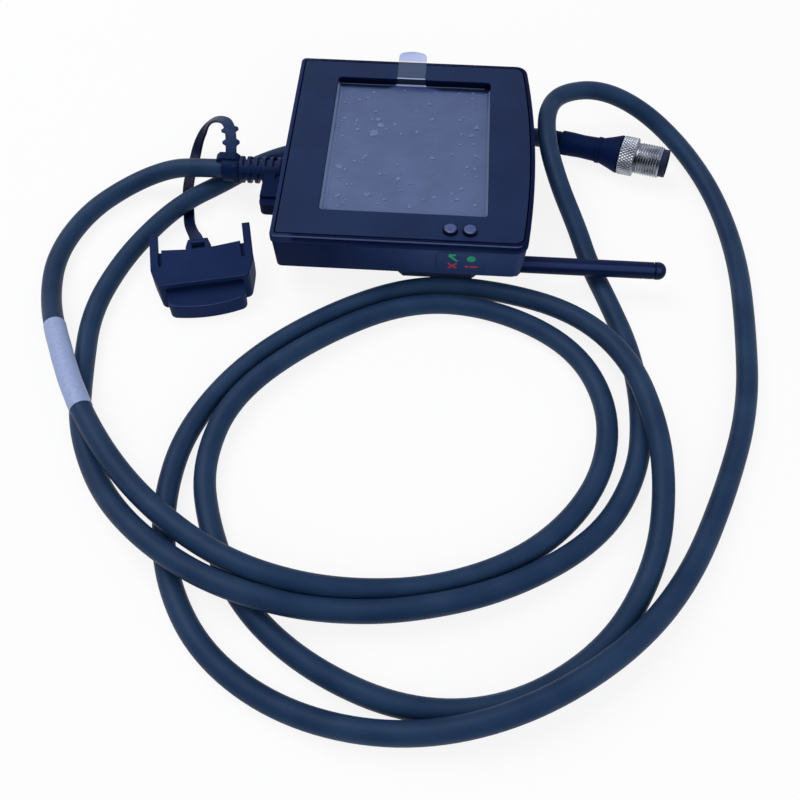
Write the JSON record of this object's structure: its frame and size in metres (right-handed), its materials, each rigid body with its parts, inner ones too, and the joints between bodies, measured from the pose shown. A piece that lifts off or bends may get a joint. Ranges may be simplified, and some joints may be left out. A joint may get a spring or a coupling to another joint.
{
  "type": "touch screen display",
  "caption": "Hand-size touch screen display in a moulded case with rear mounting inserts, status lights, a side stylus, a tethered retaining clip and a coiled cable with a round connector.",
  "frame": {"origin": "centre of the four rear mounting inserts, on the faces of the two rear pads", "axes": "+Z out of the screen, +X from the cable wall to the curved wall with the stylus, +Y from the status lights to the far side"},
  "size_m": [0.2565, 0.2598, 0.0273],
  "materials": {
    "moulded_case": "fine moulded texture",
    "face_plate": "fine moulded texture",
    "seal_rubber": "smooth",
    "touch_glass": "polished",
    "white_plastic": "smooth",
    "film": "glossy",
    "board": "satin",
    "chip_resin": "matte",
    "lens": "polished",
    "steel": "turned",
    "brass": "turned",
    "nickel": "nickel plated",
    "plug_plastic": "satin",
    "soft_plastic": "satin",
    "cable_jacket": "extruded satin",
    "paper_label": "satin"
  },
  "bodies": {
    "display": {"rear_cover": "moulded_case", "case_seal": "seal_rubber", "front_frame": "moulded_case", "front_plate": "face_plate", "screen_gasket": "seal_rubber", "touch_panel": "touch_glass", "display_glass": "touch_glass", "backlight_tray": "white_plastic", "protective_film": "film", "main_board": "board", "board_chips": "chip_resin", "status_lamps": "white_plastic", "status_lenses": "lens", "case_screws": "steel", "mount_inserts": "brass", "cable_socket": "chip_resin", "plug_nose": "nickel", "plug_body": "plug_plastic", "strain_relief": "soft_plastic", "cable": "cable_jacket", "cable_label": "paper_label", "connector_boot": "soft_plastic", "pin_carrier": "chip_resin", "connector_pins": "brass", "tether_band": "plug_plastic", "tether_strap": "plug_plastic", "retaining_clip": "plug_plastic"},
    "stylus": {"stylus_barrel": "plug_plastic", "stylus_end": "plug_plastic", "stylus_tip": "plug_plastic"},
    "coupling": {"coupling_nut": "nickel"}
  },
  "joints": [
    {"name": "stylus_slide", "type": "slide", "parent": "display", "child": "stylus", "axis": [1, 0, 0], "range_m": [-0.046, 0.026]},
    {"name": "coupling_spin", "type": "hinge", "parent": "display", "child": "coupling", "pos_m": [0.0418, 0.0296, 0.00512], "axis": [0.9435, -0.3212, 0.0809], "continuous": true}
  ]
}
